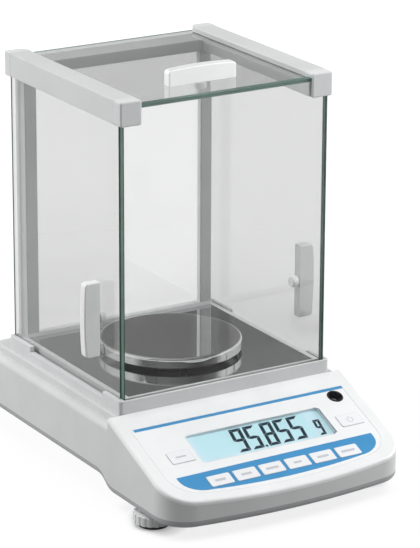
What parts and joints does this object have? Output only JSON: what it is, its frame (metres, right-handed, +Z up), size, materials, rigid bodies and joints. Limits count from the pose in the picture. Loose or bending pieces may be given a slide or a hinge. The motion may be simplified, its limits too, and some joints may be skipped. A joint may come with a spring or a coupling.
{
  "type": "precision balance",
  "caption": "Precision balance with a glass draft shield, sliding doors, round steel weighing pan, sloped keypad panel with display, and levelling feet.",
  "frame": {"origin": "on the bench under the middle of the housing, between the feet", "axes": "+X to the right seen from the keypad, +Y to the rear, +Z up"},
  "size_m": [0.2164, 0.305, 0.3208],
  "materials": {
    "grey_moulding": "fine satin texture, light grey",
    "frame_moulding": "fine satin texture, light grey",
    "tray_casting": "grey powder coat",
    "white_moulding": "satin white",
    "keypad_film": "printed satin film",
    "key_white": "satin white",
    "clear_window": "clear polished",
    "display_glass": "pale blue display face",
    "black_plastic": "black moulded",
    "circuit_board": "green solder mask",
    "rail_aluminium": "satin anodised",
    "float_glass": "clear float glass with green edges",
    "handle_white": "smooth white",
    "polished_steel": "polished stainless sheet",
    "beam_aluminium": "machined",
    "screw_steel": "plated",
    "bush_brass": "turned",
    "wheel_plastic": "grey moulded, fluted rim",
    "pad_rubber": "soft black"
  },
  "bodies": {
    "base": {"base_tray": "tray_casting", "board_screws": "screw_steel", "chamber_plate": "polished_steel", "display_board": "circuit_board", "foot_inserts": "bush_brass", "front_glass": "float_glass", "front_panel": "white_moulding", "housing": "grey_moulding", "housing_screws": "screw_steel", "keypad_overlay": "keypad_film", "lcd_lens": "clear_window", "lcd_module": "display_glass", "left_rail": "rail_aluminium", "level_cup": "black_plastic", "level_vial": "clear_window", "load_cell": "beam_aluminium", "load_cell_mount": "beam_aluminium", "load_cell_screws": "screw_steel", "main_board": "circuit_board", "power_jack": "black_plastic", "rail_front_caps": "frame_moulding", "rail_rear_caps": "frame_moulding", "rear_bar": "rail_aluminium", "rear_glass": "float_glass", "rear_post_left": "rail_aluminium", "rear_post_right": "rail_aluminium", "right_rail": "rail_aluminium", "serial_port": "screw_steel", "shield_frame": "frame_moulding", "tact_switches": "black_plastic", "top_cover": "grey_moulding"},
    "left_door": {"left_door_glass": "float_glass", "left_door_handle": "handle_white", "left_door_knob": "handle_white"},
    "right_door": {"right_door_glass": "float_glass", "right_door_handle": "handle_white", "right_door_knob": "handle_white"},
    "top_door": {"top_door_glass": "float_glass", "top_door_handle": "handle_white", "top_door_knob": "handle_white"},
    "load_carrier": {"pan_support": "beam_aluminium", "arm_screws": "screw_steel"},
    "pan": {"pan": "polished_steel"},
    "key_1": {"key_1": "key_white"},
    "key_2": {"key_2": "key_white"},
    "key_3": {"key_3": "key_white"},
    "key_4": {"key_4": "key_white"},
    "key_5": {"key_5": "key_white"},
    "key_6": {"key_6": "key_white"},
    "left_key": {"left_key": "key_white"},
    "power_key": {"power_key": "key_white"},
    "foot_1": {"foot_pad_1": "pad_rubber"},
    "foot_1_wheel": {"foot_wheel_1": "wheel_plastic"},
    "foot_2": {"foot_pad_2": "pad_rubber"},
    "foot_2_wheel": {"foot_wheel_2": "wheel_plastic"},
    "foot_3": {"foot_pad_3": "pad_rubber"},
    "foot_3_wheel": {"foot_wheel_3": "wheel_plastic"},
    "foot_4": {"foot_pad_4": "pad_rubber"},
    "foot_4_wheel": {"foot_wheel_4": "wheel_plastic"}
  },
  "joints": [
    {"name": "left_door_slide", "type": "slide", "parent": "base", "child": "left_door", "axis": [0, 1, 0], "range_m": [0, 0.115]},
    {"name": "right_door_slide", "type": "slide", "parent": "base", "child": "right_door", "axis": [0, 1, 0], "range_m": [0, 0.115]},
    {"name": "top_door_slide", "type": "slide", "parent": "base", "child": "top_door", "axis": [0, 1, 0], "range_m": [0, 0.11]},
    {"name": "load_deflection", "type": "slide", "parent": "base", "child": "load_carrier", "axis": [0, 0, 1], "range_m": [-0.0003, 0], "stiffness_N_per_m": 20000, "springref_m": 0.0003},
    {"name": "pan_lift", "type": "slide", "parent": "load_carrier", "child": "pan", "axis": [0, 0, 1], "range_m": [0, 0.04]},
    {"name": "key_1_press", "type": "slide", "parent": "base", "child": "key_1", "axis": [0, 0.3722, -0.9282], "range_m": [0, 0.0004], "stiffness_N_per_m": 1500, "springref_m": -0.0004},
    {"name": "key_2_press", "type": "slide", "parent": "base", "child": "key_2", "axis": [0, 0.3722, -0.9282], "range_m": [0, 0.0004], "stiffness_N_per_m": 1500, "springref_m": -0.0004},
    {"name": "key_3_press", "type": "slide", "parent": "base", "child": "key_3", "axis": [0, 0.3722, -0.9282], "range_m": [0, 0.0004], "stiffness_N_per_m": 1500, "springref_m": -0.0004},
    {"name": "key_4_press", "type": "slide", "parent": "base", "child": "key_4", "axis": [0, 0.3722, -0.9282], "range_m": [0, 0.0004], "stiffness_N_per_m": 1500, "springref_m": -0.0004},
    {"name": "key_5_press", "type": "slide", "parent": "base", "child": "key_5", "axis": [0, 0.3722, -0.9282], "range_m": [0, 0.0004], "stiffness_N_per_m": 1500, "springref_m": -0.0004},
    {"name": "key_6_press", "type": "slide", "parent": "base", "child": "key_6", "axis": [0, 0.3722, -0.9282], "range_m": [0, 0.0004], "stiffness_N_per_m": 1500, "springref_m": -0.0004},
    {"name": "left_key_press", "type": "slide", "parent": "base", "child": "left_key", "axis": [0, 0.3722, -0.9282], "range_m": [0, 0.0004], "stiffness_N_per_m": 1500, "springref_m": -0.0004},
    {"name": "power_key_press", "type": "slide", "parent": "base", "child": "power_key", "axis": [0, 0.3722, -0.9282], "range_m": [0, 0.0004], "stiffness_N_per_m": 1500, "springref_m": -0.0004},
    {"name": "foot_1_height", "type": "slide", "parent": "base", "child": "foot_1", "axis": [0, 0, -1], "range_m": [-0.001, 0.005]},
    {"name": "foot_1_turn", "type": "hinge", "parent": "foot_1", "child": "foot_1_wheel", "pos_m": [-0.093, -0.0995, 0.0067], "axis": [0, 0, 1], "range_deg": [-1442, 290]},
    {"name": "foot_2_height", "type": "slide", "parent": "base", "child": "foot_2", "axis": [0, 0, -1], "range_m": [-0.001, 0.005]},
    {"name": "foot_2_turn", "type": "hinge", "parent": "foot_2", "child": "foot_2_wheel", "pos_m": [0.093, -0.0995, 0.0067], "axis": [0, 0, 1], "range_deg": [-1442, 290]},
    {"name": "foot_3_height", "type": "slide", "parent": "base", "child": "foot_3", "axis": [0, 0, -1], "range_m": [-0.001, 0.005]},
    {"name": "foot_3_turn", "type": "hinge", "parent": "foot_3", "child": "foot_3_wheel", "pos_m": [0.055, 0.128, 0.0067], "axis": [0, 0, 1], "range_deg": [-1442, 290]},
    {"name": "foot_4_height", "type": "slide", "parent": "base", "child": "foot_4", "axis": [0, 0, -1], "range_m": [-0.001, 0.005]},
    {"name": "foot_4_turn", "type": "hinge", "parent": "foot_4", "child": "foot_4_wheel", "pos_m": [-0.055, 0.128, 0.0067], "axis": [0, 0, 1], "range_deg": [-1442, 290]}
  ],
  "couplings": [
    {"joint": "foot_1_turn", "follows": "foot_1_height", "rad_per_m": -5026.5},
    {"joint": "foot_2_turn", "follows": "foot_2_height", "rad_per_m": -5026.5},
    {"joint": "foot_3_turn", "follows": "foot_3_height", "rad_per_m": -5026.5},
    {"joint": "foot_4_turn", "follows": "foot_4_height", "rad_per_m": -5026.5}
  ]
}
